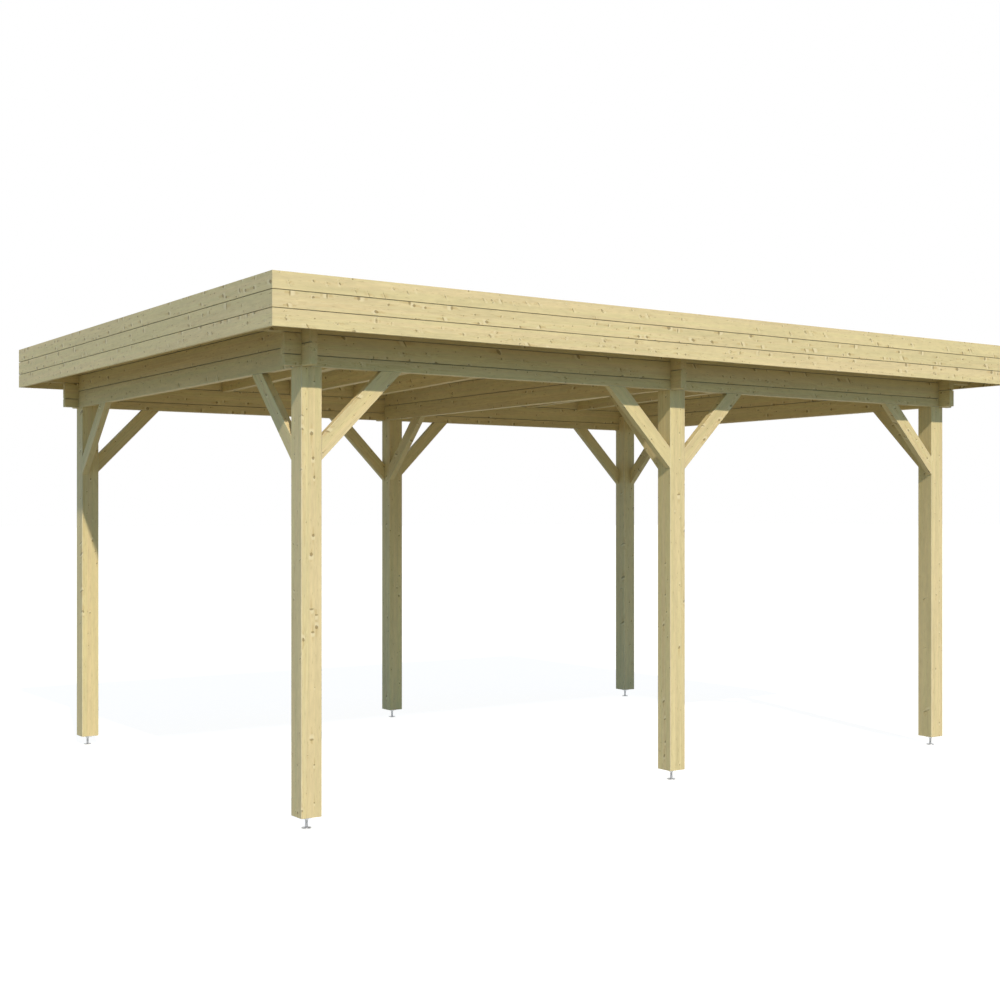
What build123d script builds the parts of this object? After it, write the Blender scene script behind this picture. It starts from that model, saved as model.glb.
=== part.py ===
"""Flat-roofed timber carport.

Six glued posts on screw feet carry two long beams and three cross beams on
shoulders, and a tongue at each post's head stands in the corner between the
two.  Each beam is a stack of logs, tongued and grooved with a shadow gap at
every joint, and the stacks lock into each other at every crossing by notches
of a quarter of a course.  Braces stiffen the posts, joists let into the top
logs fall gently to the back, and a board fascia hides the roof edge.

Frame: X along the long side, Y from front to back, Z up, with the origin on
the ground under the middle of the roof.  All sizes are in millimetres.
"""

import os

from build123d import *

os.makedirs("parts", exist_ok=True)

# Plan of the posts, measured over their outer faces
row_length = 5105
row_depth = 3567

# Posts, measured up to the shoulders that carry the beams, and their screw feet
post_side = 120
post_length = 2358
post_tongue = 120
post_arris = 4
foot_height = 65
foot_radius = 27
foot_thickness = 6
foot_weld = 4
rod_radius = 8
rod_embedment = 150
rod_clearance = 0.3
nut_width = 24
nut_height = 13
head_radius = 35
head_thickness = 5

# Logs of the beams
log_thickness = 44
course = 113
log_arris = 3
log_reach = 98
tongue_width = 12
tongue_height = 8
log_gap = 5
log_gap_depth = 12

# Braces
brace_width = 90
brace_thickness = 44
brace_reach = 486

# Roof
overhang = 319
fall = 71
joist_width = 58
joist_height = 120
joist_pocket = 56
joist_bays = 9
deck_thickness = 18
covering_thickness = 4
covering_upstand = 24
drip_gap = 30

# Fascia
fascia_thickness = 20
fascia_board = 91
fascia_boards = 3
fascia_drop = 153
fascia_gap = 4
fascia_gap_depth = 9

# Levels and lines that follow from the sizes above
half_length = row_length / 2
half_depth = row_depth / 2
beam_underside = foot_height + post_length
quarter = course / 4
fascia_inside_x = half_length + overhang - fascia_thickness
fascia_inside_y = half_depth + overhang - fascia_thickness
fascia_bottom = beam_underside + fascia_drop
fascia_height = fascia_board * fascia_boards

# Left faces of the three posts in a row, and of the three cross beams
post_lefts = {
    "left": -half_length,
    "middle": -log_thickness / 2,
    "right": half_length - post_side,
}
cross_lefts = {
    "left": -half_length,
    "middle": -log_thickness / 2,
    "right": half_length - log_thickness,
}
# Front faces of the two post rows, and of the two long beams
post_fronts = {"front": -half_depth, "back": half_depth - post_side}
long_fronts = {"front": -half_depth, "back": half_depth - log_thickness}

joist_pitch = row_length / joist_bays
joist_centres = [joist_pitch * step - half_length for step in range(1, joist_bays)]


def level(courses):
    """Height of a number of courses above the underside of the beams."""
    return beam_underside + courses * course


def roof_level(y):
    """Height of the underside of the deck, which falls to the back."""
    return level(2.5) + fall * (half_depth - y) / row_depth


def write(piece, name):
    """Label a finished piece and write its file."""
    piece.part.label = name
    export_step(piece.part, f"parts/{name}.step")


def box_between(left, front, bottom, right, back, top, mode=Mode.ADD):
    """Add or cut the box between two corners."""
    centre = ((left + right) / 2, (front + back) / 2, (bottom + top) / 2)
    with Locations(centre):
        Box(right - left, back - front, top - bottom, mode=mode)


def slope_band(left, right, front, back, lower, upper, mode=Mode.ADD):
    """Add or cut a slab along the roof's fall, between two heights above the deck's underside."""
    with BuildSketch(Plane.YZ.offset(left)) as section:
        with BuildLine():
            Polyline(
                (front, roof_level(front) + lower),
                (back, roof_level(back) + lower),
                (back, roof_level(back) + upper),
                (front, roof_level(front) + upper),
                close=True,
            )
        make_face()
    extrude(section.sketch, amount=right - left, mode=mode)


def post(name, side, row):
    """Glued square post with eased arrises and a bore for its foot's rod.

    Its head is rebated for the long and the cross beam, which leaves the shoulders
    they stand on and the tongue in the corner between them.
    """
    left = post_lefts[side]
    front = post_fronts[row]
    centre = (left + post_side / 2, front + post_side / 2)
    top = beam_underside + post_tongue
    with BuildPart() as piece:
        with BuildSketch(Plane.XY.offset(foot_height)):
            with Locations(centre):
                Rectangle(post_side, post_side)
        extrude(amount=post_length + post_tongue)
        chamfer(piece.edges().filter_by(Axis.Z), post_arris)
        near = long_fronts[row]
        box_between(
            left, near, beam_underside, left + post_side, near + log_thickness, top,
            mode=Mode.SUBTRACT,
        )
        near = cross_lefts[side]
        box_between(
            near, front, beam_underside, near + log_thickness, front + post_side, top,
            mode=Mode.SUBTRACT,
        )
        with BuildSketch(Plane.XY.offset(foot_height)):
            with Locations(centre):
                Circle(rod_radius + rod_clearance)
        extrude(amount=rod_embedment + rod_clearance, mode=Mode.SUBTRACT)
    write(piece, name)


def foot(name, left, front):
    """Screw foot: base disc, rod, adjusting nut and head plate."""
    centre = (left + post_side / 2, front + post_side / 2)
    nut_top = foot_height - head_thickness
    with BuildPart() as piece:
        with BuildSketch(Plane(origin=(*centre, 0), x_dir=(1, 0, 0), z_dir=(0, -1, 0))):
            with BuildLine():
                Polyline(
                    (0, 0),
                    (foot_radius, 0),
                    (foot_radius, foot_thickness),
                    (rod_radius + foot_weld, foot_thickness),
                    (rod_radius, foot_thickness + foot_weld),
                    (rod_radius, nut_top),
                    (head_radius, nut_top),
                    (head_radius, foot_height),
                    (rod_radius, foot_height),
                    (rod_radius, foot_height + rod_embedment),
                    (0, foot_height + rod_embedment),
                    close=True,
                )
            make_face()
        revolve(axis=Axis((*centre, 0), (0, 0, 1)))
        with BuildSketch(Plane.XY.offset(nut_top - nut_height)):
            with Locations(centre):
                RegularPolygon(nut_width / 2, 6, major_radius=False)
        extrude(amount=nut_height)
    write(piece, name)


def webs(first):
    """Heights between which one stack of logs passes through a crossing whole."""
    marks = [first, first + 1, first + 2, first + 3]
    return [(level(mark) - quarter, level(mark) + quarter) for mark in marks]


def strip(left, right, front, back, near, far, bottom, top, mode):
    """Add or cut a strip along a log, between two distances from its front or left face."""
    if right - left > back - front:
        box_between(left, front + near, bottom, right, front + far, top, mode=mode)
    else:
        box_between(left + near, front, bottom, left + far, back, top, mode=mode)


def log(name, left, right, front, back, lowest, highest, crossings):
    """One log between two course marks, notched at its crossings for the other stack's logs.

    A log without a highest mark is ripped to the roof's fall.  The lowest log has
    eased lower edges, and every other one has a groove and two shadow gaps there.
    """
    ripped = highest is None
    lengthwise = Axis.X if right - left > back - front else Axis.Y
    bottom = level(lowest)
    top = roof_level(front) if ripped else level(highest)
    plan = (left, right, front, back)
    tongue = ((log_thickness - tongue_width) / 2, (log_thickness + tongue_width) / 2)
    gaps = [(0, log_gap_depth), (log_thickness - log_gap_depth, log_thickness)]
    with BuildPart() as piece:
        box_between(left, front, bottom, right, back, top)
        if lowest == 0:
            chamfer(piece.edges().filter_by(lengthwise).group_by(Axis.Z)[0], log_arris)
        else:
            strip(*plan, *tongue, bottom, bottom + tongue_height, Mode.SUBTRACT)
            for near, far in gaps:
                strip(*plan, near, far, bottom, bottom + log_gap, Mode.SUBTRACT)
        if not ripped:
            strip(*plan, *tongue, top, top + tongue_height, Mode.ADD)
        for near, far in crossings:
            for low, high in webs(0.5 if lengthwise == Axis.X else 0):
                if lengthwise == Axis.X:
                    box_between(near, front, low, far, back, high, mode=Mode.SUBTRACT)
                else:
                    box_between(left, near, low, right, far, high, mode=Mode.SUBTRACT)
        if ripped:
            slope_band(*plan, 0, fall + course, mode=Mode.SUBTRACT)
        if ripped and lengthwise == Axis.X:
            for centre in joist_centres:
                slope_band(
                    centre - joist_width / 2, centre + joist_width / 2,
                    front, back, -joist_pocket, course, mode=Mode.SUBTRACT,
                )
    write(piece, name)


def long_log(name, row, lowest, highest, reach):
    """One log of the front or back long beam."""
    front = long_fronts[row]
    crossings = [(left, left + log_thickness) for left in cross_lefts.values()]
    log(name, -reach, reach, front, front + log_thickness, lowest, highest, crossings)


def cross_log(name, side, lowest, highest):
    """One log of the left, middle or right cross beam."""
    left = cross_lefts[side]
    reach = half_depth + log_reach
    crossings = [(front, front + log_thickness) for front in long_fronts.values()]
    log(name, left, left + log_thickness, -reach, reach, lowest, highest, crossings)


def brace(plane, post_face, direction, thickness):
    """Brace from a post's face up to the beams, drawn on a plane whose y is up."""
    foot_of_brace = beam_underside - brace_reach
    cut = brace_width * 2**0.5
    with BuildSketch(plane) as outline:
        with BuildLine():
            Polyline(
                (post_face, foot_of_brace),
                (post_face + direction * brace_reach, beam_underside),
                (post_face + direction * (brace_reach - cut), beam_underside),
                (post_face, foot_of_brace + cut),
                close=True,
            )
        make_face()
    extrude(outline.sketch, amount=thickness)


def braces(name, side, row):
    """The braces of one post: one or two along its row, and one towards the other row."""
    left = post_lefts[side]
    right = left + post_side
    front = post_fronts[row]
    back = front + post_side
    row_face = front if row == "front" else back - brace_thickness
    side_face = right - brace_thickness if side == "right" else left
    along_row = Plane.XZ.offset(-row_face)
    across = Plane.YZ.offset(side_face)
    with BuildPart() as piece:
        if side != "left":
            brace(along_row, left, -1, -brace_thickness)
        if side != "right":
            brace(along_row, right, 1, -brace_thickness)
        if row == "front":
            brace(across, back, 1, brace_thickness)
        else:
            brace(across, front, -1, brace_thickness)
    write(piece, name)


def joists(name, centres):
    """Joists that follow the roof's fall, notched over the top logs of the long beams."""
    with BuildPart() as piece:
        for centre in centres:
            left = centre - joist_width / 2
            right = centre + joist_width / 2
            slope_band(left, right, -fascia_inside_y, fascia_inside_y, -joist_height, 0)
            for front in long_fronts.values():
                slope_band(
                    left, right, front, front + log_thickness,
                    -joist_height - joist_pocket, -joist_pocket, mode=Mode.SUBTRACT,
                )
    write(piece, name)


def fascia(name, inside_run, inside_distance, turn):
    """Boards along one side of the roof, mitred at both ends, with a shadow gap at each joint."""
    side = Plane.XY.rotated((0, 0, turn))
    outside_run = inside_run + fascia_thickness
    outside = -inside_distance - fascia_thickness
    end = Plane(origin=side.origin, x_dir=side.y_dir, z_dir=side.x_dir)
    with BuildPart() as piece:
        with BuildSketch(side.offset(fascia_bottom)):
            with BuildLine():
                Polyline(
                    (-outside_run, outside),
                    (outside_run, outside),
                    (inside_run, -inside_distance),
                    (-inside_run, -inside_distance),
                    close=True,
                )
            make_face()
        extrude(amount=fascia_height)
        with BuildSketch(end):
            for joint in range(1, fascia_boards):
                height = fascia_bottom + joint * fascia_board
                with Locations((outside + fascia_gap_depth / 2, height)):
                    Rectangle(fascia_gap_depth, fascia_gap)
        extrude(amount=outside_run, both=True, mode=Mode.SUBTRACT)
    write(piece, name)


for row, front in post_fronts.items():
    for side, left in post_lefts.items():
        post(f"{row}_{side}_post", side, row)
        foot(f"{row}_{side}_foot", left, front)
        braces(f"{row}_{side}_braces", side, row)

crossing_reach = half_length + log_reach
for row in long_fronts:
    long_log(f"{row}_beam_bottom_half_log", row, 0, 0.5, crossing_reach)
    long_log(f"{row}_beam_middle_log", row, 0.5, 1.5, crossing_reach)
long_log("front_beam_upper_log", "front", 1.5, 2.5, fascia_inside_x)
long_log("front_beam_ripped_log", "front", 2.5, None, fascia_inside_x)
long_log("back_beam_ripped_log", "back", 1.5, None, fascia_inside_x)

for side in cross_lefts:
    cross_log(f"{side}_cross_bottom_log", side, 0, 1)
    cross_log(f"{side}_cross_middle_log", side, 1, 2)
    cross_log(f"{side}_cross_ripped_log", side, 2, None)

joists("left_bay_joists", [centre for centre in joist_centres if centre < 0])
joists("right_bay_joists", [centre for centre in joist_centres if centre > 0])

with BuildPart() as roof_deck:
    slope_band(
        -fascia_inside_x, fascia_inside_x,
        -fascia_inside_y, fascia_inside_y - drip_gap, 0, deck_thickness,
    )
write(roof_deck, "roof_deck")

with BuildPart() as roof_covering:
    sheet_top = deck_thickness + covering_thickness
    rim_top = sheet_top + covering_upstand
    front_edge = -fascia_inside_y
    back_edge = fascia_inside_y - drip_gap
    slope_band(
        -fascia_inside_x, fascia_inside_x, front_edge, back_edge, deck_thickness, sheet_top,
    )
    slope_band(
        -fascia_inside_x, fascia_inside_x,
        front_edge, front_edge + covering_thickness, sheet_top, rim_top,
    )
    for left in (-fascia_inside_x, fascia_inside_x - covering_thickness):
        slope_band(left, left + covering_thickness, front_edge, back_edge, sheet_top, rim_top)
write(roof_covering, "roof_covering")

fascia("front_fascia", fascia_inside_x, fascia_inside_y, 0)
fascia("right_fascia", fascia_inside_y, fascia_inside_x, 90)
fascia("back_fascia", fascia_inside_x, fascia_inside_y, 180)
fascia("left_fascia", fascia_inside_y, fascia_inside_x, 270)
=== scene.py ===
"""Looks of a flat-roofed timber carport.

Glued spruce posts on zinc-plated screw feet carry stacked logs, joists, a
boarded deck under a rubber membrane, and a mitred fascia.  Every piece is
modelled in metres round the fixed frame, whose parts it stands for.
"""

import math
import random

import bmesh
import bpy
from bpy.props import FloatProperty, FloatVectorProperty, IntProperty, PointerProperty
from bpy.types import Operator, Panel, PropertyGroup
from mathutils import Matrix, Vector


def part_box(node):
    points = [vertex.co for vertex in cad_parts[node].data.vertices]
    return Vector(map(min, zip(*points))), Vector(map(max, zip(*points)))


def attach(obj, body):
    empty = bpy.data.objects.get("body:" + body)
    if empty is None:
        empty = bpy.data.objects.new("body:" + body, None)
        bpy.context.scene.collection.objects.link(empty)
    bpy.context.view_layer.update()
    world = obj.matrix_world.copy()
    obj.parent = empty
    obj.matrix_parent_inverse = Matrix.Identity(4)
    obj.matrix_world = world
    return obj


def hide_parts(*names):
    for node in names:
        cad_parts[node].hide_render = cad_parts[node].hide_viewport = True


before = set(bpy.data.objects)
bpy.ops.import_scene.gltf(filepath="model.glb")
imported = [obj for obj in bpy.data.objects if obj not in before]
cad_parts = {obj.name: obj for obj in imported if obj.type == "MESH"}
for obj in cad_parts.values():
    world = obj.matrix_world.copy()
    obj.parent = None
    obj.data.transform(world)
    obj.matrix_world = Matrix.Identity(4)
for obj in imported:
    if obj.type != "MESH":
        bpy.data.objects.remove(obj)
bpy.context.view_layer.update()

bl_info = {
    "name": "Timber carport",
    "version": (1, 0, 0),
    "blender": (4, 5, 0),
    "location": "View3D > Sidebar > Carport",
    "description": "Builds the timber, steel and roofing of a flat-roofed carport",
    "category": "Object",
}

X = Vector((1, 0, 0))
Y = Vector((0, 1, 0))
Z = Vector((0, 0, 1))
ROWS = ("front", "back")
SIDES = ("left", "middle", "right")
FASCIA_TURNS = {"front": 0, "right": 90, "back": 180, "left": 270}
# Points nearer to each other than this are merged
WELD_DISTANCE = 0.00001


# ---------------------------------------------------------------- settings


def metres(name, description, default):
    """A size in metres that a user can change."""
    return FloatProperty(
        name=name, description=description, default=default, subtype="DISTANCE", unit="LENGTH"
    )


def pigment(name, description, default):
    """A colour that a user can change."""
    return FloatVectorProperty(
        name=name, description=description, default=default, size=3, subtype="COLOR"
    )


class CarportTimberSettings(PropertyGroup):
    """Sizes and colours of the spruce."""

    arris: metres("Arris", "Radius that every sawn edge is eased to", 0.0015)
    post_arris: metres("Post arris", "Radius of the four long edges of a post", 0.004)
    lamella: metres("Lamella", "Thickness of the boards that a post is glued from", 0.04)
    shadow_gap: metres(
        "Shadow gap", "Height of the open joint between the faces of two fascia boards", 0.004
    )
    gap_depth: metres("Gap depth", "How far the joint between two fascia boards is open", 0.009)
    fascia_boards: IntProperty(
        name="Fascia boards",
        description="Number of boards that the fascia is high",
        default=3,
        min=1,
    )
    earlywood: pigment("Earlywood", "Colour of the pale part of a growth ring", (0.80, 0.672, 0.342))
    latewood: pigment("Latewood", "Colour of the dark part of a growth ring", (0.62, 0.45, 0.173))
    knotwood: pigment("Knots", "Colour of a knot", (0.38, 0.27, 0.095))


class CarportRoofSettings(PropertyGroup):
    """Sizes of the deck boards and of the membrane over them."""

    deck_thickness: metres("Deck thickness", "Thickness of the roof boards", 0.018)
    deck_board: metres("Deck board", "Width of a roof board", 0.09)
    deck_bevel: metres("Deck bevel", "Bevel along the underside of the roof boards", 0.0025)
    membrane: metres("Membrane", "Thickness of the roof membrane", 0.0025)
    membrane_width: metres("Membrane width", "Width of one sheet of the membrane", 1.45)


class CarportFootSettings(PropertyGroup):
    """Sizes of the screw feet."""

    base_radius: metres("Base radius", "Radius of the disc that stands on the ground", 0.027)
    base_thickness: metres("Base thickness", "Thickness of the disc that stands on the ground", 0.006)
    rod_radius: metres("Rod radius", "Radius over the thread of the rod", 0.008)
    pitch: metres("Thread pitch", "Distance between two turns of the thread", 0.002)
    nut_width: metres("Nut width", "Width over the flats of the adjusting nut", 0.024)
    nut_height: metres("Nut height", "Height of the adjusting nut", 0.013)
    head_radius: metres("Head radius", "Radius of the plate under the post", 0.035)
    head_thickness: metres("Head thickness", "Thickness of the plate under the post", 0.005)


class CarportStageSettings(PropertyGroup):
    """Light and floor."""

    sun_strength: FloatProperty(
        name="Sun",
        description="Strength of the sun lamp",
        default=2.80,
    )
    sky_strength: FloatProperty(
        name="Sky",
        description="Strength of the soft light from all round",
        default=0.42,
    )
    floor_glow: FloatProperty(
        name="Floor glow",
        description="Share of the floor's white that its shadow leaves",
        default=0.9,
    )


SETTINGS = {
    "carport_timber": CarportTimberSettings,
    "carport_roof": CarportRoofSettings,
    "carport_feet": CarportFootSettings,
    "carport_stage": CarportStageSettings,
}


# ---------------------------------------------------------------- modelling


def alone(piece):
    """Make one object the only selected one, and active."""
    bpy.ops.object.select_all(action="DESELECT")
    piece.select_set(True)
    bpy.context.view_layer.objects.active = piece


def edit(piece):
    """Take one object into edit mode."""
    alone(piece)
    bpy.ops.object.mode_set(mode="EDIT")


def named(name):
    """Name the active object and its mesh, and put its origin at the world's."""
    piece = bpy.context.object
    piece.name = name
    piece.data.name = name
    bpy.ops.object.transform_apply(location=True, rotation=True, scale=True)
    return piece


def add_box(name, low, high):
    """Add a box between two corners."""
    bpy.ops.object.select_all(action="DESELECT")
    size = Vector(high) - Vector(low)
    bpy.ops.mesh.primitive_cube_add(size=1, location=Vector(low) + size / 2)
    bpy.context.object.scale = size
    return named(name)


def copy_of(source, name, matrix):
    """Copy a piece, moved by a matrix, with a mesh of its own."""
    piece = bpy.data.objects.new(name, source.data.copy())
    piece.data.name = name
    piece.data.transform(matrix)
    bpy.context.scene.collection.objects.link(piece)
    return piece


def discard(piece):
    """Remove a pattern or a cutter that has done its work."""
    bpy.data.objects.remove(piece)


def join(name, pieces):
    """Join pieces into one object."""
    bpy.ops.object.select_all(action="DESELECT")
    for piece in pieces:
        piece.select_set(True)
    bpy.context.view_layer.objects.active = pieces[0]
    bpy.ops.object.join()
    return named(name)


def pick(piece, kind, test):
    """In edit mode, select only the edges or faces that pass a test."""
    bpy.ops.mesh.select_mode(type=kind)
    bpy.ops.mesh.select_all(action="DESELECT")
    mesh = bmesh.from_edit_mesh(piece.data)
    for element in mesh.edges if kind == "EDGE" else mesh.faces:
        if test(element):
            element.select_set(True)
    bmesh.update_edit_mesh(piece.data)


def bevel_edges(piece, width, segments, test):
    """Bevel the edges that pass a test."""
    edit(piece)
    pick(piece, "EDGE", test)
    bpy.ops.mesh.bevel(offset=width, segments=segments, affect="EDGES")
    bpy.ops.object.mode_set(mode="OBJECT")


def score(piece, point, normal, **values):
    """Cut edges round a piece along a plane, and leave it whole unless told otherwise."""
    edit(piece)
    bpy.ops.mesh.select_all(action="SELECT")
    bpy.ops.mesh.bisect(plane_co=point, plane_no=normal, **values)
    bpy.ops.object.mode_set(mode="OBJECT")


def cut_off(piece, point, outwards):
    """Saw a piece at a plane, and drop what lies outwards of it."""
    score(piece, point, outwards, use_fill=True, clear_outer=True)


def apply_modifier(piece, kind, **values):
    """Add a modifier with these values, and apply it."""
    alone(piece)
    modifier = piece.modifiers.new(kind, kind)
    for key, value in values.items():
        setattr(modifier, key, value)
    bpy.ops.object.modifier_apply(modifier=modifier.name)


def ease(piece, width):
    """Round every sharp edge of a piece a little."""
    apply_modifier(
        piece,
        "BEVEL",
        width=width,
        segments=2,
        limit_method="ANGLE",
        angle_limit=math.radians(30),
    )


def copy_of_node(node, name):
    """Copy a frame part as a clean mesh with whole flat faces."""
    piece = copy_of(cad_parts[node], name, Matrix.Identity(4))
    edit(piece)
    bpy.ops.mesh.select_all(action="SELECT")
    bpy.ops.mesh.remove_doubles(threshold=WELD_DISTANCE)
    bpy.ops.mesh.dissolve_limited(angle_limit=math.radians(0.5))
    bpy.ops.object.mode_set(mode="OBJECT")
    bpy.ops.mesh.customdata_custom_splitnormals_clear()
    bpy.ops.object.shade_flat()
    return piece


def loose_parts(piece):
    """Split a piece into its separate solids, from low X and Y to high."""
    alone(piece)
    bpy.ops.mesh.separate(type="LOOSE")
    parts = list(bpy.context.selected_objects)
    return sorted(parts, key=lambda part: tuple(round(c, 3) for c in middle(part)))


def solids_of(node, name):
    """Copy a frame part as one numbered piece for each of its solids."""
    parts = loose_parts(copy_of_node(node, f"{node}_whole"))
    for count, part in enumerate(parts, start=1):
        part.name = f"{name}_{count}"
        part.data.name = part.name
    return parts


def middle(piece):
    """Middle of a piece's box."""
    sides = list(zip(*(point.co for point in piece.data.vertices)))
    return Vector([(min(side) + max(side)) / 2 for side in sides])


def longest_edge(piece):
    """Direction of a piece's longest edge, which is the run of its grain."""
    points = piece.data.vertices
    runs = [points[a].co - points[b].co for a, b in (edge.vertices for edge in piece.data.edges)]
    return max(runs, key=lambda run: run.length).normalized()


class Trunk:
    """Where in a tree a timber was sawn: a random place along it and beside its pith."""

    def __init__(self, draw, depth):
        self.along = draw.uniform(0, 90)
        self.depth = draw.uniform(*depth)
        self.beside = draw.uniform(-0.035, 0.035)
        self.lean = draw.uniform(-0.005, 0.005)
        self.swerve = draw.uniform(-0.004, 0.004)
        self.facing = draw.choice((-1, 1))
        self.tone = draw.random()

    def place(self, run, deep, aside):
        """Metres along the trunk, and two across it from the pith."""
        return (
            run + self.along,
            self.facing * deep + self.depth + self.lean * run,
            aside + self.beside + self.swerve * run,
        )


def saw(piece, along, flat, depth=(0.045, 0.1), lamella=None):
    """Store which part of a tree each face corner is, for the grain to follow.

    The attribute grain holds metres in the trunk, and the attribute board holds
    the timber's tone, and one or zero for end grain and for an arris.  A glued
    post takes a trunk for each of its three lamellas, and the fourth is there for
    its outermost face, which can round up past the third.
    """
    draw = random.Random(piece.name)
    along = along.normalized()
    flat = (flat - along * along.dot(flat)).normalized()
    aside = along.cross(flat)
    centre = middle(piece)
    mesh = piece.data
    trunks = [Trunk(draw, depth) for _ in range(4)]
    grain = []
    board = []
    for face in mesh.polygons:
        offset = flat.dot(face.center - centre)
        trunk = trunks[0 if lamella is None else math.floor(offset / lamella + 1.5)]
        squareness = [abs(face.normal.dot(axis)) for axis in (along, flat, aside)]
        end = 1.0 if squareness[0] > 0.6 else 0.0
        arris = 1.0 if max(squareness) < 0.98 and not end else 0.0
        for corner in face.vertices:
            place = mesh.vertices[corner].co - centre
            grain.extend(trunk.place(place.dot(along), place.dot(flat), place.dot(aside)))
            board.extend((trunk.tone, end, arris))
    for name, values in (("grain", grain), ("board", board)):
        attribute = mesh.attributes.new(name, "FLOAT_VECTOR", "CORNER")
        attribute.data.foreach_set("vector", values)


def finish_piece(piece, finish, *nodes):
    """Give a piece its material, and let it stand for its frame parts."""
    piece.data.materials.clear()
    piece.data.materials.append(material(finish))
    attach(piece, "root")
    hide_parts(*nodes)


# ---------------------------------------------------------------- shaders


class Wiring:
    """Adds nodes to a tree, and feeds each input with a socket or a value."""

    def __init__(self, tree):
        self.tree = tree

    def feed(self, socket, value):
        if isinstance(value, bpy.types.NodeSocket):
            self.tree.links.new(value, socket)
        else:
            socket.default_value = value

    def add(self, kind, inputs=(), **values):
        node = self.tree.nodes.new(kind)
        for key, value in values.items():
            setattr(node, key, value)
        for key, value in dict(inputs).items():
            self.feed(node.inputs[key], value)
        return node

    def math(self, operation, *values):
        node = self.add("ShaderNodeMath", dict(enumerate(values)), operation=operation)
        return node.outputs[0]

    def times(self, first, second):
        return self.math("MULTIPLY", first, second)

    def scaled(self, vector, scales):
        node = self.add("ShaderNodeVectorMath", {0: vector, 1: scales}, operation="MULTIPLY")
        return node.outputs[0]

    def noise(self, vector, scales, detail=2.0):
        inputs = {"Vector": self.scaled(vector, scales), "Scale": 1.0, "Detail": detail}
        return self.add("ShaderNodeTexNoise", inputs).outputs["Fac"]

    def ramp(self, value, low, high, start=0.0, end=1.0):
        inputs = {"Value": value, "From Min": low, "From Max": high, "To Min": start, "To Max": end}
        node = self.add("ShaderNodeMapRange", inputs, interpolation_type="SMOOTHSTEP")
        return node.outputs[0]

    def mix(self, factor, first, second, blend="MIX"):
        inputs = {0: factor, 6: first, 7: second}
        node = self.add("ShaderNodeMix", inputs, data_type="RGBA", blend_type=blend)
        return node.outputs[2]

    def shaded(self, colour, value):
        node = self.add("ShaderNodeVectorMath", {0: colour, 3: value}, operation="SCALE")
        return node.outputs[0]

    def relief(self, height, strength, distance):
        inputs = {"Height": height, "Strength": strength, "Distance": distance}
        return self.add("ShaderNodeBump", inputs).outputs[0]

    def from_pith(self, split):
        """Distance from the pith, given the place in the trunk by its axes."""
        square = self.times(split[1], split[1])
        return self.math("SQRT", self.math("MULTIPLY_ADD", split[2], split[2], square))


def new_group(name, inputs, outputs):
    """Start a shader group with named inputs (kind, default) and outputs (kind)."""
    group = bpy.data.node_groups.new(name, "ShaderNodeTree")
    for label, (kind, default) in inputs.items():
        socket = group.interface.new_socket(name=label, in_out="INPUT", socket_type=kind)
        socket.default_value = default
    for label, kind in outputs.items():
        group.interface.new_socket(name=label, in_out="OUTPUT", socket_type=kind)
    wiring = Wiring(group)
    source = wiring.add("NodeGroupInput").outputs
    result = wiring.add("NodeGroupOutput").inputs
    return group, wiring, source, result


NUMBER = "NodeSocketFloat"
VECTOR = "NodeSocketVector"
COLOUR = "NodeSocketColor"


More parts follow.
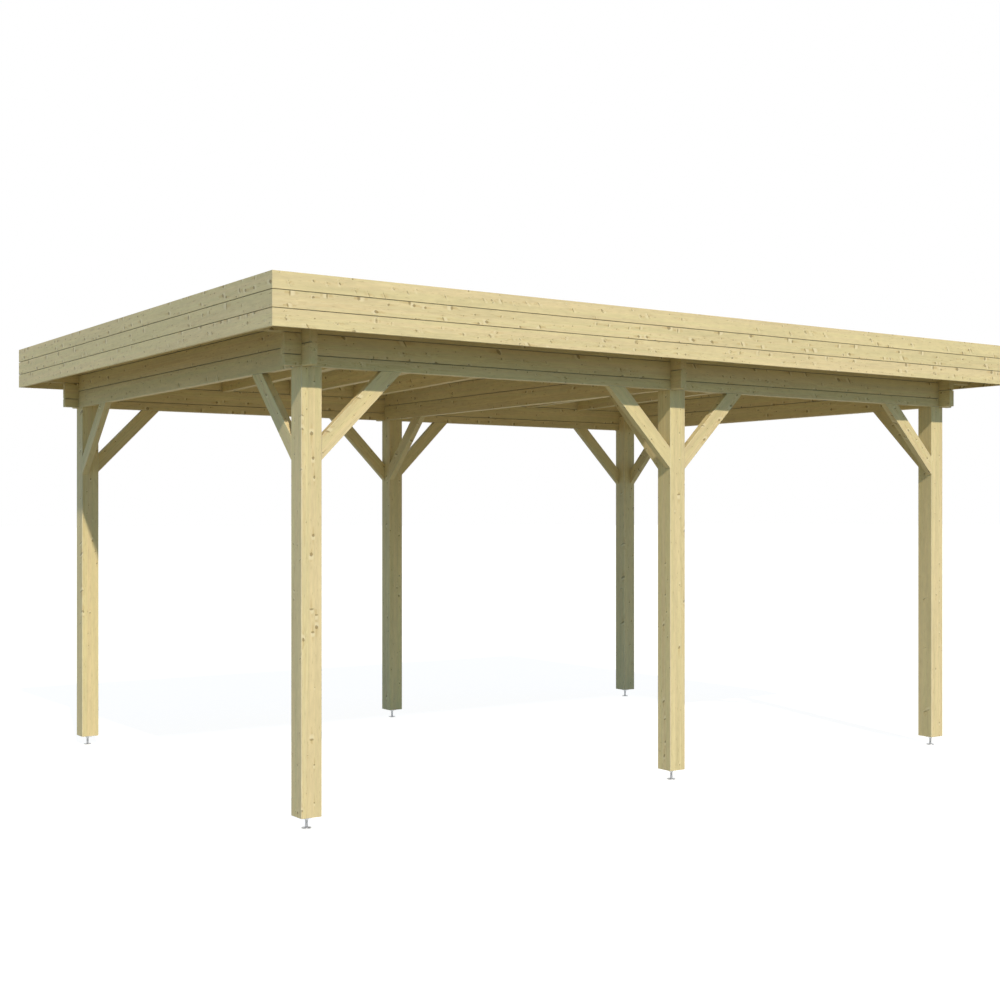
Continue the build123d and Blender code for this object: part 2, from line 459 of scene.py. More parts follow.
def knot_group():
    """Branches that run out from the pith, as the faces of a timber cut them."""
    group, wire, source, result = new_group(
        "Branch knots",
        {
            "Grain": (VECTOR, (0, 0, 0)),
            "Spacing": (NUMBER, 0.11),
            "Share": (NUMBER, 0.75),
            "Size": (NUMBER, 0.005),
        },
        {"Core": NUMBER, "Rim": NUMBER, "Halo": NUMBER, "Tail": NUMBER, "Swirl": NUMBER},
    )
    spread = 0.8
    split = wire.add("ShaderNodeSeparateXYZ", {0: source["Grain"]}).outputs
    radius = wire.from_pith(split)
    turn = wire.math("ARCTAN2", split[2], split[1])
    level = wire.math("MULTIPLY_ADD", radius, -0.5, split[0])
    column = wire.math("DIVIDE", level, source["Spacing"])
    row = wire.math("DIVIDE", turn, spread)
    cell = wire.add("ShaderNodeCombineXYZ", {0: column, 1: row}).outputs[0]
    branch = wire.add(
        "ShaderNodeTexVoronoi",
        {"Vector": cell, "Scale": 1.0, "Randomness": 0.95},
        voronoi_dimensions="2D",
    ).outputs
    chance = wire.add("ShaderNodeSeparateColor", {0: branch["Color"]}).outputs
    home = wire.add("ShaderNodeSeparateXYZ", {0: branch["Position"]}).outputs
    along = wire.times(wire.math("SUBTRACT", column, home[0]), source["Spacing"])
    round_off = wire.times(wire.math("SUBTRACT", row, home[1]), spread)
    across = wire.times(round_off, radius)
    present = wire.math("LESS_THAN", chance[0], source["Share"])
    growth = wire.math("MULTIPLY_ADD", wire.math("POWER", chance[1], 2.0), 1.3, 0.4)
    growth = wire.times(growth, wire.ramp(radius, 0.0, 0.05, 0.2, 1.2))
    size = wire.times(wire.times(growth, source["Size"]), present)
    size = wire.math("MAXIMUM", size, 0.00001)
    ragged = wire.noise(source["Grain"], (240, 240, 240))
    ragged = wire.math("MULTIPLY_ADD", ragged, 1.1, 0.45)
    slim = wire.ramp(chance[2], 0.3, 0.9, 0.9, 1.6)
    lean = wire.times(across, wire.math("SUBTRACT", chance[1], 0.5))
    leant = wire.math("ADD", along, lean)

    def reach(run, rise):
        """Distance from the knot's middle in its own radii, with each axis weighted."""
        forward = wire.math("POWER", wire.times(leant, run), 2.0)
        upward = wire.math("POWER", wire.times(across, rise), 2.0)
        return wire.math("DIVIDE", wire.math("SQRT", wire.math("ADD", forward, upward)), size)

    def square_over(distance, radii):
        """Square of a distance, measured in so many of the knot's radii."""
        reached = wire.math("DIVIDE", distance, wire.times(size, radii))
        return wire.math("POWER", reached, 2.0)

    near = wire.times(reach(slim, wire.math("DIVIDE", 1.1, slim)), ragged)
    near = wire.times(near, 1.15)
    far = reach(0.35, 0.7)
    side = wire.ramp(chance[0], 0.2, 0.5, 1.5, -1.5)
    beside = wire.math("MULTIPLY_ADD", size, side, leant)
    broken = wire.ramp(wire.noise(source["Grain"], (70, 110, 110)), 0.38, 0.6)
    broken = wire.math("MAXIMUM", broken, wire.ramp(radius, 0.05, 0.06))
    stout = wire.times(wire.ramp(size, 0.001, 0.0035), broken)
    core = wire.times(wire.ramp(near, 0.6, 1.15, 1.0, 0.0), stout)
    wire.feed(result["Core"], core)
    ring = wire.times(wire.ramp(near, 0.55, 0.95), wire.ramp(near, 0.95, 1.3, 1.0, 0.0))
    dead = wire.ramp(chance[2], 0.2, 0.7, 1.0, 0.25)
    pith = wire.ramp(near, 0.0, 0.4, 0.8, 0.0)
    dark = wire.math("MAXIMUM", wire.times(ring, dead), pith)
    wire.feed(result["Rim"], wire.times(dark, stout))
    # Pale patch to one side of each knot: partly paler wood, partly a painted sheen.
    flare_and_sheen = wire.math("ADD", square_over(beside, 1.9), square_over(across, 1.3))
    flare_and_sheen = wire.ramp(flare_and_sheen, 0.0, 1.5, 1.0, 0.0)
    flare_and_sheen = wire.times(flare_and_sheen, wire.ramp(chance[1], 0.1, 0.9, 0.25, 1.0))
    wire.feed(result["Halo"], wire.times(flare_and_sheen, stout))
    tail = wire.ramp(square_over(across, 0.8), 0.0, 1.0, 1.0, 0.0)
    tail = wire.times(tail, wire.ramp(far, 0.5, 3.2, 1.0, 0.0))
    wire.feed(result["Tail"], wire.times(tail, stout))
    spin = wire.math("DIVIDE", 1.0, wire.math("MULTIPLY_ADD", far, far, 1.0))
    wire.feed(result["Swirl"], wire.times(spin, size))
    return group


def spruce_group():
    """Growth rings, streaks, fibre and knots of planed spruce."""
    group, wire, source, result = new_group(
        "Planed spruce",
        {
            "Grain": (VECTOR, (0, 0, 0)),
            "Board": (VECTOR, (0, 0, 0)),
            "Earlywood": (COLOUR, (0.8, 0.67, 0.36, 1)),
            "Latewood": (COLOUR, (0.6, 0.45, 0.18, 1)),
            "Knot": (COLOUR, (0.4, 0.25, 0.1, 1)),
            "Ring Width": (NUMBER, 0.0032),
            "Ring Contrast": (NUMBER, 0.3),
            "Tone Range": (NUMBER, 0.06),
            "Knot Spacing": (NUMBER, 0.11),
            "Knot Share": (NUMBER, 0.75),
            "Knot Size": (NUMBER, 0.005),
        },
        {"Color": COLOUR, "Roughness": NUMBER, "Height": NUMBER},
    )
    grain = source["Grain"]
    split = wire.add("ShaderNodeSeparateXYZ", {0: grain}).outputs
    board = wire.add("ShaderNodeSeparateXYZ", {0: source["Board"]}).outputs
    knots = wire.add(
        "ShaderNodeGroup",
        {
            "Grain": grain,
            "Spacing": source["Knot Spacing"],
            "Share": source["Knot Share"],
            "Size": source["Knot Size"],
        },
        node_tree=bpy.data.node_groups["Branch knots"],
    ).outputs

    radius = wire.from_pith(split)
    wander = wire.noise(grain, (0.5, 4, 4))
    bent = wire.math("MULTIPLY_ADD", wander, 0.007, radius)
    bent = wire.math("MULTIPLY_ADD", knots["Swirl"], 0.9, bent)
    years = wire.add("ShaderNodeCombineXYZ", {0: wire.times(radius, 55.0)}).outputs[0]
    lean_years = wire.noise(years, (1, 1, 1))
    rings = wire.math("DIVIDE", bent, source["Ring Width"])
    phase = wire.math("FRACT", wire.math("MULTIPLY_ADD", lean_years, 3.0, rings))
    late = wire.times(wire.ramp(phase, 0.2, 0.85), wire.ramp(phase, 0.85, 1.0, 1.0, 0.0))

    streak = wire.noise(grain, (1.6, 26, 26), 4.0)
    hue = wire.noise(grain, (0.5, 30, 30))
    fibre = wire.noise(grain, (16, 800, 800))
    fleck = wire.ramp(wire.noise(grain, (26, 190, 190)), 0.62, 0.78)
    mottle = wire.noise(grain, (16, 60, 60))

    rough_late = wire.times(late, source["Ring Contrast"])
    colour = wire.mix(rough_late, source["Earlywood"], source["Latewood"])
    tint = wire.mix(wire.ramp(hue, 0.35, 0.65), (0.985, 1.0, 0.965, 1), (1.015, 0.993, 1.0, 1))
    colour = wire.mix(1.0, colour, tint, "MULTIPLY")
    tone = 1.0
    swings = ((board[0], source["Tone Range"]), (streak, 0.34), (mottle, 0.22), (fibre, 0.14))
    for pattern, swing in swings:
        tone = wire.math("MULTIPLY_ADD", wire.math("SUBTRACT", pattern, 0.5), swing, tone)
    colour = wire.shaded(colour, tone)
    tints = (
        (fleck, 0.45, source["Knot"], "MIX"),
        (knots["Tail"], 0.45, (0.6, 0.42, 0.15, 1), "MIX"),
        # The pale patch beside each knot is partly paler wood and partly a painted sheen.
        (knots["Halo"], 0.6, (0.95, 0.84, 0.51, 1), "MIX"),
        (knots["Core"], 0.8, source["Knot"], "MIX"),
        (knots["Rim"], 0.65, (0.18, 0.115, 0.035, 1), "MIX"),
        (board[1], 0.5, (0.98, 0.96, 0.93, 1), "MULTIPLY"),
        (board[2], 0.25, (0.93, 0.86, 0.62, 1), "MIX"),
    )
    for mask, share, tint, blend in tints:
        colour = wire.mix(wire.times(mask, share), colour, tint, blend)
    wire.feed(result["Color"], colour)

    rough = wire.math("MULTIPLY_ADD", fibre, 0.16, 0.56)
    rough = wire.math("MULTIPLY_ADD", knots["Core"], -0.14, rough)
    wire.feed(result["Roughness"], wire.math("MULTIPLY_ADD", board[1], 0.12, rough))
    height = wire.math("MULTIPLY_ADD", late, 0.45, wire.times(fibre, 0.5))
    wire.feed(result["Height"], wire.math("MULTIPLY_ADD", knots["Core"], 0.6, height))
    return group


# What sets the timbers of each use apart from the others
SPRUCES = {
    "glued_post_spruce": {"Ring Contrast": 0.24, "Knot Spacing": 0.10, "Knot Size": 0.0048},
    "brace_spruce": {"Ring Contrast": 0.28, "Knot Spacing": 0.09, "Knot Size": 0.0056},
    "log_spruce": {"Ring Contrast": 0.28, "Knot Spacing": 0.10, "Knot Size": 0.0062},
    "joist_spruce": {"Ring Contrast": 0.30, "Knot Spacing": 0.12, "Knot Size": 0.0060},
    "fascia_spruce": {"Ring Contrast": 0.18, "Knot Spacing": 0.075, "Knot Size": 0.0064},
    "deck_spruce": {"Ring Contrast": 0.30, "Knot Spacing": 0.11, "Knot Size": 0.0060},
}


def new_material(name):
    """Start a material, and return it with its wiring and its surface shader."""
    made = bpy.data.materials.new(name)
    made.use_nodes = True
    surface = made.node_tree.nodes["Principled BSDF"]
    return made, Wiring(made.node_tree), surface


def spruce(name, figure):
    """Planed spruce whose grain follows the piece's own attributes, with painted shade in its
    creases.
    """
    timber = bpy.context.scene.carport_timber
    made, wire, surface = new_material(name)
    grain = wire.add("ShaderNodeAttribute", attribute_name="grain").outputs["Vector"]
    board = wire.add("ShaderNodeAttribute", attribute_name="board").outputs["Vector"]
    inputs = {
        "Grain": grain,
        "Board": board,
        "Earlywood": (*timber.earlywood, 1),
        "Latewood": (*timber.latewood, 1),
        "Knot": (*timber.knotwood, 1),
        **figure,
    }
    group = bpy.data.node_groups["Planed spruce"]
    wood = wire.add("ShaderNodeGroup", inputs, node_tree=group).outputs
    # Painted shade: ambient occlusion darkens the wood's colour in creases, corners and joints, on
    # top of the shade that the lamps already cast.
    crease_occlusion = wire.add("ShaderNodeAmbientOcclusion", {"Distance": 0.12}, samples=4)
    painted_crease_shade = wire.ramp(crease_occlusion.outputs["AO"], 0.1, 0.75, 0.68, 1.0)
    wire.feed(surface.inputs["Base Color"], wire.shaded(wood["Color"], painted_crease_shade))
    wire.feed(surface.inputs["Roughness"], wood["Roughness"])
    wire.feed(surface.inputs["Normal"], wire.relief(wood["Height"], 0.35, 0.0006))
    surface.inputs["Specular IOR Level"].default_value = 0.25
    return made


def rubber(name):
    """Dark roof membrane with dust where rain has dried."""
    made, wire, surface = new_material(name)
    roof = bpy.context.scene.carport_roof
    place = wire.add("ShaderNodeTexCoord").outputs["Object"]
    across = wire.add("ShaderNodeSeparateXYZ", {0: place}).outputs[0]
    from_side = wire.math("SUBTRACT", across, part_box("roof_covering")[0].x)
    sheet = wire.math("FRACT", wire.math("DIVIDE", from_side, roof.membrane_width))
    seam = wire.ramp(sheet, 0.001, 0.012, 1.0, 0.0)
    dust = wire.ramp(wire.noise(place, (1.4, 0.9, 1.4), 6.0), 0.45, 0.75)
    speckle = wire.noise(place, (260, 260, 260))
    black = (0.041, 0.038, 0.031, 1)
    dusty = (0.15, 0.138, 0.112, 1)
    shadow = (0.014, 0.013, 0.011, 1)
    colour = wire.mix(wire.times(dust, 0.45), black, dusty)
    colour = wire.mix(wire.times(seam, 0.7), colour, shadow)
    colour = wire.shaded(colour, wire.ramp(speckle, 0.2, 0.8, 0.8, 1.2))
    wire.feed(surface.inputs["Base Color"], colour)
    wire.feed(surface.inputs["Roughness"], wire.ramp(dust, 0.0, 1.0, 0.5, 0.75))
    wire.feed(surface.inputs["Normal"], wire.relief(speckle, 0.3, 0.0005))
    return made


def zinc(name):
    """Zinc-plated steel with faint spangle."""
    made, wire, surface = new_material(name)
    place = wire.add("ShaderNodeTexCoord").outputs["Object"]
    spangle = wire.add("ShaderNodeTexVoronoi", {"Vector": place, "Scale": 350.0}).outputs["Color"]
    cloud = wire.noise(place, (60, 60, 60), 3.0)
    shade = wire.add("ShaderNodeSeparateColor", {0: spangle}).outputs[0]
    shade = wire.math("MULTIPLY_ADD", shade, 0.1, wire.ramp(cloud, 0.3, 0.7, 0.82, 0.98))
    wire.feed(surface.inputs["Base Color"], wire.shaded((0.62, 0.635, 0.65), shade))
    wire.feed(surface.inputs["Roughness"], wire.ramp(cloud, 0.3, 0.7, 0.3, 0.5))
    surface.inputs["Metallic"].default_value = 1.0
    return made


def material(finish):
    """The material of a finish, made when it is first asked for."""
    name = finish.replace("_", " ")
    found = bpy.data.materials.get(name)
    if found:
        return found
    if finish == "roof_membrane":
        return rubber(name)
    if finish == "zinc_steel":
        return zinc(name)
    if "Planed spruce" not in bpy.data.node_groups:
        knot_group()
        spruce_group()
    return spruce(name, SPRUCES[finish])


# ---------------------------------------------------------------- pieces


class CARPORT_OT_posts(Operator):
    """Glued posts with eased edges, rebated at the head for the beams"""

    bl_idname = "carport.posts"
    bl_label = "Posts"

    def execute(self, context):
        timber = context.scene.carport_timber
        for row in ROWS:
            for side in SIDES:
                node = f"{row}_{side}_post"
                low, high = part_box(node)
                post = add_box(f"{node}_timber", low, high)
                bevel_edges(post, timber.post_arris, 3, self.upright)
                for beam in (f"{row}_beam_bottom_half_log", f"{side}_cross_bottom_log"):
                    self.rebate(post, beam)
                ease(post, timber.arris)
                for step in (-0.5, 0.5):
                    score(post, (low + high) / 2 + X * step * timber.lamella, X)
                saw(post, Z, X, depth=(0.035, 0.07), lamella=timber.lamella)
                finish_piece(post, "glued_post_spruce", node)
        return {"FINISHED"}

    def upright(self, edge):
        """Whether an edge runs up the post."""
        start, end = (corner.co for corner in edge.verts)
        return abs(start.z - end.z) > 0.5

    def rebate(self, post, beam):
        """Cut a post's head away where a beam stands on its shoulder."""
        centre = middle(post)
        low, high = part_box(beam)
        clear = 0.05
        for axis in range(2):
            if low[axis] > centre[axis]:
                high[axis] += clear
            else:
                low[axis] -= clear
        high.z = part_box(post.name.removesuffix("_timber"))[1].z + clear
        cutter = add_box("rebate_cutter", low, high)
        apply_modifier(post, "BOOLEAN", operation="DIFFERENCE", solver="EXACT", object=cutter)
        discard(cutter)


class CARPORT_OT_feet(Operator):
    """Screw feet: base disc, threaded rod, adjusting nut and head plate with its screws"""

    bl_idname = "carport.feet"
    bl_label = "Screw feet"

    def execute(self, context):
        sizes = context.scene.carport_feet
        pattern = self.foot(sizes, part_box("front_left_post")[0].z)
        for row in ROWS:
            for side in SIDES:
                low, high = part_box(f"{row}_{side}_post")
                centre = (low + high) / 2
                node = f"{row}_{side}_foot"
                shift = Matrix.Translation((centre.x, centre.y, 0))
                foot = copy_of(pattern, f"{node}_steel", shift)
                finish_piece(foot, "zinc_steel", node)
        discard(pattern)
        return {"FINISHED"}

    def foot(self, sizes, post_bottom):
        """One foot, with its rod on the Z axis."""
        plate = post_bottom - sizes.head_thickness
        pieces = [
            self.base(sizes),
            self.rod(sizes, plate),
            self.nut(sizes, plate),
            self.plate(sizes, plate, post_bottom),
        ]
        pieces += self.screws(sizes, plate)
        foot = join("foot_pattern", pieces)
        bpy.ops.object.shade_smooth_by_angle(angle=math.radians(35))
        return foot

    def base(self, sizes):
        """Base disc with a rounded rim and a weld round the rod."""
        top = sizes.base_thickness
        rim = 0.0015
        weld = 0.004
        profile = [
            (0, 0),
            (sizes.base_radius - rim, 0),
            (sizes.base_radius - rim * 0.3, rim * 0.3),
            (sizes.base_radius, rim),
            (sizes.base_radius, top - rim),
            (sizes.base_radius - rim * 0.3, top - rim * 0.3),
            (sizes.base_radius - rim, top),
            (sizes.rod_radius + weld, top),
            (sizes.rod_radius + weld * 0.35, top + weld * 0.45),
            (sizes.rod_radius - 0.001, top + weld),
            (0, top + weld),
        ]
        return self.turned("foot_base", profile, 48)

    def rod(self, sizes, top):
        """Threaded rod, from the weld to inside the nut."""
        bottom = sizes.base_thickness
        turns = round((top - bottom) / sizes.pitch)
        crest = sizes.rod_radius
        root = crest - sizes.pitch * 0.6
        # Where one ridge of the thread has its corners, as shares of the pitch
        ridge = ((root, 0), (root, 0.15), (crest, 0.5), (crest, 0.65))
        profile = [(0, bottom)]
        for turn in range(turns):
            start = bottom + turn * sizes.pitch
            profile += [(radius, start + sizes.pitch * share) for radius, share in ridge]
        profile.append((root, bottom + turns * sizes.pitch))
        profile.append((0, bottom + turns * sizes.pitch))
        return self.turned("foot_rod", profile, 24)

    def turned(self, name, profile, steps):
        """Spin a profile of (radius, height) points round the Z axis."""
        bpy.ops.object.select_all(action="DESELECT")
        bpy.ops.mesh.primitive_plane_add(size=1)
        piece = named(name)
        bpy.ops.object.mode_set(mode="EDIT")
        bpy.ops.mesh.delete(type="VERT")
        mesh = bmesh.from_edit_mesh(piece.data)
        points = [mesh.verts.new((radius, 0, height)) for radius, height in profile]
        for first, second in zip(points, points[1:]):
            mesh.edges.new((first, second))
        bmesh.update_edit_mesh(piece.data)
        bpy.ops.mesh.select_all(action="SELECT")
        bpy.ops.mesh.spin(steps=steps, angle=math.tau, center=(0, 0, 0), axis=(0, 0, 1))
        bpy.ops.mesh.select_all(action="SELECT")
        bpy.ops.mesh.remove_doubles(threshold=WELD_DISTANCE)
        bpy.ops.mesh.normals_make_consistent(inside=False)
        bpy.ops.object.mode_set(mode="OBJECT")
        return piece

    def nut(self, sizes, top):
        """Hexagon nut whose corners are turned off at both faces."""
        corner = sizes.nut_width / math.sqrt(3)
        bottom = top - sizes.nut_height
        bpy.ops.object.select_all(action="DESELECT")
        bpy.ops.mesh.primitive_cylinder_add(
            vertices=6,
            radius=corner,
            depth=sizes.nut_height,
            location=(0, 0, top - sizes.nut_height / 2),
        )
        nut = named("foot_nut")
        face = sizes.nut_width / 2 * 0.96
        outside = corner + 0.001
        drop = (outside - face) * math.tan(math.radians(30))
        profile = [
            (0, bottom),
            (face, bottom),
            (outside, bottom + drop),
            (outside, top - drop),
            (face, top),
            (0, top),
        ]
        lens = self.turned("nut_lens", profile, 48)
        apply_modifier(nut, "BOOLEAN", operation="INTERSECT", object=lens)
        discard(lens)
        return nut

    def plate(self, sizes, bottom, top):
        """Head plate with an eased lower rim."""
        rim = 0.001
        profile = [
            (0, bottom),
            (sizes.head_radius - rim, bottom),
            (sizes.head_radius, bottom + rim),
            (sizes.head_radius, top),
            (0, top),
        ]
        return self.turned("foot_plate", profile, 48)

    def screws(self, sizes, plate):
        """Four hexagon screw heads with washers under the head plate."""
        circle = sizes.head_radius * 0.74
        rim = 0.0003
        # Radius, height and number of sides
        washer = (0.0065, 0.0012, 20)
        hexagon = (0.0048, 0.0048, 6)
        heads = []

        def underneath(edge):
            return all(point.co.z < plate - 0.0005 for point in edge.verts)

        for step in range(4):
            turn = math.tau * (step + 0.5) / 4
            place = Vector((math.cos(turn) * circle, math.sin(turn) * circle, 0))
            for radius, height, sides in (washer, hexagon):
                bpy.ops.object.select_all(action="DESELECT")
                bpy.ops.mesh.primitive_cylinder_add(
                    vertices=sides,
                    radius=radius,
                    depth=height,
                    location=place + Z * (plate - height / 2),
                    rotation=(0, 0, turn),
                )
                head = named("foot_screw")
                bevel_edges(head, rim, 1, underneath)
                heads.append(head)
        return heads


class CARPORT_OT_braces(Operator):
    """Braces between the posts and the beams"""

    bl_idname = "carport.braces"
    bl_label = "Braces"

    def execute(self, context):
        # The braces are eased a little more than the other timbers
        arris = context.scene.carport_timber.arris * 1.3
        for row in ROWS:
            for side in SIDES:
                node = f"{row}_{side}_braces"
                for part in solids_of(node, f"{row}_{side}_brace"):
                    along = longest_edge(part)
                    ease(part, arris)
                    saw(part, along, along.cross(Z), depth=(0.04, 0.09))
                    finish_piece(part, "brace_spruce", node)
        return {"FINISHED"}


class CARPORT_OT_beams(Operator):
    """Stacked logs of the two long beams and the three cross beams"""

    bl_idname = "carport.beams"
    bl_label = "Beams"

    def execute(self, context):
        timber = context.scene.carport_timber
        for node in sorted(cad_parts):
            if not node.endswith("_log"):
                continue
            piece = copy_of_node(node, f"{node}_timber")
            along = longest_edge(piece)
            ease(piece, timber.arris)
            saw(piece, along, along.cross(Z), depth=(0.045, 0.09))
            finish_piece(piece, "log_spruce", node)
        return {"FINISHED"}


class CARPORT_OT_joists(Operator):
    """Joists let into the top logs"""

    bl_idname = "carport.joists"
    bl_label = "Joists"

    def execute(self, context):
        timber = context.scene.carport_timber
        for bay in ("left", "right"):
            node = f"{bay}_bay_joists"
            for part in solids_of(node, f"{bay}_bay_joist"):
                along = longest_edge(part)
                ease(part, timber.arris)
                saw(part, along, X)
                finish_piece(part, "joist_spruce", node)
        return {"FINISHED"}


def deck_underside(roof):
    """A function that gives the height of the sloping boards' underside along Y."""
    low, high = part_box("roof_deck")
    fall = (high.z - roof.deck_thickness - low.z) / (high.y - low.y)
    return lambda y: low.z + fall * (high.y - y)


class CARPORT_OT_deck(Operator):
    """Roof boards, bevelled underneath and butted over the joists"""

    bl_idname = "carport.deck"
    bl_label = "Roof deck"

    def execute(self, context):
        roof = context.scene.carport_roof
        low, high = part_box("roof_deck")
        rows = round((high.y - low.y) / roof.deck_board)
        width = (high.y - low.y) / rows
        joists = self.joist_lines()
        draw = random.Random("deck")
        boards = []
        for row in range(rows):
            front = low.y + row * width
            butts = sorted(draw.sample(joists, 2))
            stops = [low.x, *butts, high.x]
            for left, right in zip(stops, stops[1:]):
                boards.append(self.board(roof, left, right, front, front + width))
        deck = join("roof_deck_boards", boards)
        underside = deck_underside(roof)
        for point in deck.data.vertices:
            point.co.z += underside(point.co.y)
        finish_piece(deck, "deck_spruce", "roof_deck")
        return {"FINISHED"}

    def joist_lines(self):
        """Middles of the joists along X."""
        lines = []
        for bay in ("left", "right"):
            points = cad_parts[f"{bay}_bay_joists"].data.vertices
            edges = sorted({round(point.co.x, 4) for point in points})
            lines += [(a + b) / 2 for a, b in zip(edges[::2], edges[1::2])]
        return lines

    def board(self, roof, left, right, front, back):
        """One level board whose lower long edges are bevelled."""
        gap = 0.0004
        low = Vector((left + gap, front + gap / 4, 0))
        high = Vector((right - gap, back - gap / 4, roof.deck_thickness))
        board = add_box(f"board {left:.3f} {front:.3f}", low, high)
        bevel_edges(
            board,
            roof.deck_bevel,
            1,
            lambda edge: edge.calc_length() > 0.2 and all(p.co.z < 0.001 for p in edge.verts),
        )
        saw(board, X, Z)
        return board


class CARPORT_OT_covering(Operator):
    """Rubber membrane in lapped sheets, turned up at the fascia"""

    bl_idname = "carport.covering"
    bl_label = "Roof covering"

    def execute(self, context):
        roof = context.scene.carport_roof
        low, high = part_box("roof_covering")
        # Play between the sheet and the fascia, with both sides together
        side_play = 0.012
        end_play = 0.008
        # Space between the boards and the sheet, and how far that wavers
        air = 0.0004
        ripple = 0.0002
        bpy.ops.object.select_all(action="DESELECT")
        bpy.ops.mesh.primitive_grid_add(x_subdivisions=180, y_subdivisions=60, size=1)
        sheet = bpy.context.object
        sheet.scale = (high.x - low.x - side_play, high.y - low.y - end_play, 1)
        sheet.location = ((low.x + high.x) / 2, (low.y + high.y) / 2, 0)
        sheet = named("roof_covering_membrane")
        self.lap(sheet, roof, low.x)
        self.turn_edges(sheet, high)
        draw = random.Random("membrane")
        underside = deck_underside(roof)
        for point in sheet.data.vertices:
            deck = underside(point.co.y) + roof.deck_thickness
            point.co.z += deck + roof.membrane + air + draw.uniform(-ripple, ripple)
        apply_modifier(sheet, "SOLIDIFY", thickness=roof.membrane, offset=-1)
        alone(sheet)
        bpy.ops.object.shade_smooth_by_angle(angle=math.radians(50))
        finish_piece(sheet, "roof_membrane", "roof_covering")
        return {"FINISHED"}

    def lap(self, sheet, roof, start):
        """Raise the strips where one sheet laps over the next."""
        overlap = 0.05
        for point in sheet.data.vertices:
            run = point.co.x - start
            if run > roof.membrane_width and run % roof.membrane_width < overlap:
                point.co.z += roof.membrane * 0.6

    def turn_edges(self, sheet, high):
        """Turn the membrane up along the front and the sides, and down at the back."""
        upturn = 0.022
        drip = 0.016
        edit(sheet)

        def at_back(edge):
            return edge.is_boundary and all(p.co.y > high.y - 0.006 for p in edge.verts)

        pick(sheet, "EDGE", lambda edge: edge.is_boundary and not at_back(edge))
        bpy.ops.mesh.extrude_region_move(TRANSFORM_OT_translate={"value": (0, 0, upturn)})
        pick(sheet, "EDGE", lambda edge: at_back(edge) and all(p.co.z < 0.01 for p in edge.verts))
        bpy.ops.mesh.extrude_region_move(TRANSFORM_OT_translate={"value": (0, 0, -drip)})
        bpy.ops.object.mode_set(mode="OBJECT")


class CARPORT_OT_fascia(Operator):
    """Fascia boards, mitred at the corners, with open joints between their faces"""

    bl_idname = "carport.fascia"
    bl_label = "Fascia"

    def execute(self, context):
        timber = context.scene.carport_timber
        for side, degrees in FASCIA_TURNS.items():
            node = f"{side}_fascia"
            turn = Matrix.Rotation(math.radians(degrees), 4, "Z")
            corners = [turn.inverted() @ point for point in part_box(node)]
            low = Vector([min(values) for values in zip(*corners)])
            high = Vector([max(values) for values in zip(*corners)])
            course = (high.z - low.z) / timber.fascia_boards
            for count in range(timber.fascia_boards):
                bottom = Vector((low.x, low.y, low.z + count * course))
                top = Vector((high.x, high.y, bottom.z + course))
                lower = count > 0
                upper = count < timber.fascia_boards - 1
                name = f"{side}_fascia_board_{count + 1}"
                board = self.board(timber, name, bottom, top, lower, upper)
                board.data.transform(turn)
                saw(board, turn @ X, turn @ Y, depth=(0.01, 0.06))
                finish_piece(board, "fascia_spruce", node)
        return {"FINISHED"}

    def board(self, timber, name, low, high, lower, upper):
        """One board of the front, whose face stops short of its neighbours' faces."""
        half = timber.shadow_gap / 2
        bottom = low.z + half * lower
        top = high.z - half * upper
        board = add_box(name, (low.x, low.y, bottom), (high.x, high.y, top))
        back = low.y + timber.gap_depth
        score(board, (0, back, 0), Y)
        if lower:
            self.close_joint(board, back, bottom, -half)
        if upper:
            self.close_joint(board, back, top, half)
        cut_off(board, (low.x, low.y, 0), Vector((-1, 1, 0)))
        cut_off(board, (high.x, low.y, 0), Vector((1, 1, 0)))
        ease(board, timber.arris / 2)
        return board

    def close_joint(self, board, back, level, rise):
        """Bring the board's hidden part up or down to its neighbour."""
        edit(board)

        def hidden_edge(face):
            centre = face.calc_center_median()
            return centre.y > back and abs(centre.z - level) < 0.0001

        pick(board, "FACE", hidden_edge)
        bpy.ops.mesh.extrude_region_move(TRANSFORM_OT_translate={"value": (0, 0, rise)})
        bpy.ops.object.mode_set(mode="OBJECT")


# ---------------------------------------------------------------- stage


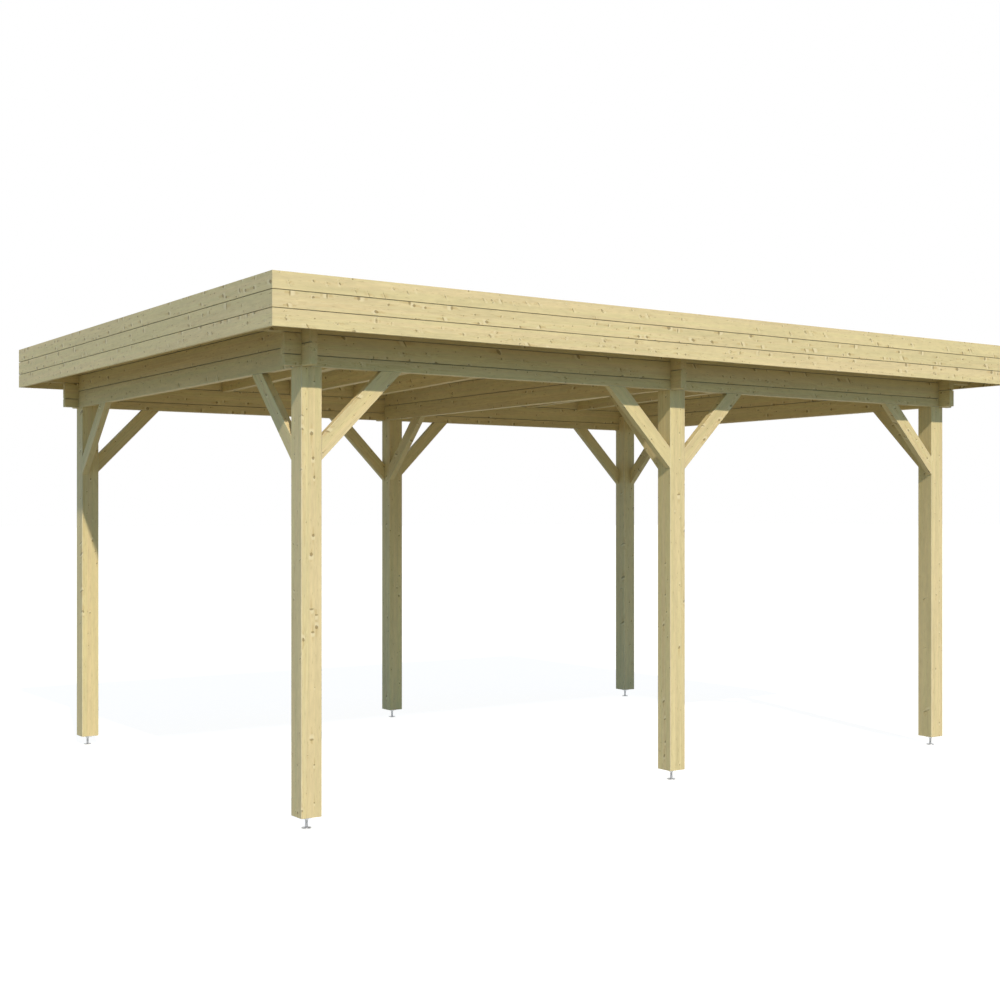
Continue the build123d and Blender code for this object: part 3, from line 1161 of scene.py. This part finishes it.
class CARPORT_OT_stage(Operator):
    """Camera, sun, soft sky and a white floor"""

    bl_idname = "carport.stage"
    bl_label = "Stage"

    def execute(self, context):
        stage = context.scene.carport_stage
        context.scene.view_settings.view_transform = "Standard"
        self.camera(context)
        self.sun(context, stage)
        self.sky(context, stage)
        self.floor(stage)
        return {"FINISHED"}

    def camera(self, context):
        """Stand at the front left corner and look level along the carport."""
        lens = bpy.data.cameras.new("camera")
        lens.lens = 52.71
        lens.sensor_width = 36.0
        lens.shift_y = 0.01607
        lens.clip_end = 500.0
        camera = bpy.data.objects.new("camera", lens)
        camera.location = (-6.0110, -8.6465, 1.6421)
        camera.rotation_euler = (math.radians(90), 0, math.radians(-34.472))
        context.scene.collection.objects.link(camera)
        context.scene.camera = camera

    def sun(self, context, stage):
        """Warm sun over the front left corner."""
        light = bpy.data.lights.new("sun", "SUN")
        light.energy = stage.sun_strength
        light.color = (0.985, 0.90, 0.85)
        light.angle = math.radians(1.0)
        rays = Vector((0.292, 1.0, -0.829))
        sun = bpy.data.objects.new("sun", light)
        sun.rotation_mode = "QUATERNION"
        sun.rotation_quaternion = rays.to_track_quat("-Z", "Y")
        context.scene.collection.objects.link(sun)

    def sky(self, context, stage):
        """Soft light, strongest near the horizon, which the camera and gloss see as white."""
        world = bpy.data.worlds.new("sky")
        world.use_nodes = True
        context.scene.world = world
        wire = Wiring(world.node_tree)
        soft = world.node_tree.nodes["Background"]
        way = wire.add("ShaderNodeTexCoord").outputs["Generated"]
        height = wire.add("ShaderNodeSeparateXYZ", {0: way}).outputs["Z"]
        horizon = (0.81, 1.33, 1.73, 1)
        zenith = (0.57, 0.68, 1.53, 1)
        wire.feed(soft.inputs["Color"], wire.mix(wire.ramp(height, 0.3, 0.65), horizon, zenith))
        soft.inputs["Strength"].default_value = stage.sky_strength
        white = wire.add("ShaderNodeBackground", {"Color": (1, 1, 1, 1), "Strength": 1.0})
        output = world.node_tree.nodes["World Output"]
        self.show(wire, output, soft.outputs[0], white.outputs[0])

    def show(self, wire, output, dim, bright):
        """Send the dim shader to soft light, and the bright one to the camera and gloss."""
        mixed = wire.add("ShaderNodeMixShader", {0: seen_white(wire), 1: dim, 2: bright})
        wire.feed(output.inputs["Surface"], mixed.outputs[0])

    def floor(self, stage):
        """White floor that keeps a faint shadow, and throws little light back up, with painted bounce
        light under the roof.
        """
        bpy.ops.object.select_all(action="DESELECT")
        bpy.ops.mesh.primitive_plane_add(size=400)
        floor = named("floor")
        made, wire, surface = new_material("floor")
        place = wire.add("ShaderNodeTexCoord").outputs["Object"]
        across = wire.add("ShaderNodeSeparateXYZ", {0: place}).outputs
        half_length = 2.4
        half_depth = 1.6
        fade = 0.3
        within = wire.math("ABSOLUTE", across[0])
        within = wire.ramp(within, half_length, half_length + fade, 1.0, 0.0)
        between = wire.math("ABSOLUTE", across[1])
        between = wire.ramp(between, half_depth, half_depth + fade, 1.0, 0.0)
        under = wire.times(within, between)
        # Painted bounce light: the floor is paler under the roof than on the open ground, to throw
        # more light up under the carport and lighten its shadow there.
        open_ground = (0.29, 0.28, 0.19, 1)
        bounce_under_roof = (0.56, 0.52, 0.41, 1)
        shade = wire.mix(under, open_ground, bounce_under_roof)
        paint = wire.add("ShaderNodeBsdfDiffuse", {"Color": shade})
        glow = wire.add("ShaderNodeEmission", {"Color": (1, 1, 1, 1), "Strength": stage.floor_glow})
        lit = wire.add("ShaderNodeAddShader", {0: paint.outputs[0], 1: glow.outputs[0]})
        output = made.node_tree.nodes["Material Output"]
        self.show(wire, output, paint.outputs[0], lit.outputs[0])
        made.node_tree.nodes.remove(surface)
        floor.data.materials.append(made)


def seen_white(wire):
    """One where the camera, a gloss or a glass looks, and zero for soft light."""
    ray = wire.add("ShaderNodeLightPath").outputs
    gloss = wire.math("MAXIMUM", ray["Is Glossy Ray"], ray["Is Transmission Ray"])
    return wire.math("MAXIMUM", ray["Is Camera Ray"], gloss)


# ---------------------------------------------------------------- add-on


OPERATORS = (
    CARPORT_OT_posts,
    CARPORT_OT_feet,
    CARPORT_OT_braces,
    CARPORT_OT_beams,
    CARPORT_OT_joists,
    CARPORT_OT_deck,
    CARPORT_OT_covering,
    CARPORT_OT_fascia,
    CARPORT_OT_stage,
)


class CARPORT_PT_panel(Panel):
    """Sizes, colours and steps of the carport"""

    bl_label = "Carport"
    bl_idname = "CARPORT_PT_panel"
    bl_space_type = "VIEW_3D"
    bl_region_type = "UI"
    bl_category = "Carport"

    def draw(self, context):
        for key, settings in SETTINGS.items():
            box = self.layout.box()
            for name in settings.__annotations__:
                box.prop(getattr(context.scene, key), name)
        for operator in OPERATORS:
            self.layout.operator(operator.bl_idname)


CLASSES = (*SETTINGS.values(), *OPERATORS, CARPORT_PT_panel)


def register():
    """Add the classes, and the settings to every scene."""
    for item in CLASSES:
        bpy.utils.register_class(item)
    for key, settings in SETTINGS.items():
        setattr(bpy.types.Scene, key, PointerProperty(type=settings))


def unregister():
    """Take the settings and the classes away again."""
    for key in SETTINGS:
        delattr(bpy.types.Scene, key)
    for item in reversed(CLASSES):
        bpy.utils.unregister_class(item)


def main():
    """Build every piece and the stage."""
    register()
    bpy.ops.object.select_all(action="DESELECT")
    bpy.ops.carport.stage()
    bpy.ops.carport.posts()
    bpy.ops.carport.feet()
    bpy.ops.carport.braces()
    bpy.ops.carport.beams()
    bpy.ops.carport.joists()
    bpy.ops.carport.deck()
    bpy.ops.carport.covering()
    bpy.ops.carport.fascia()


if __name__ == "__main__":
    main()
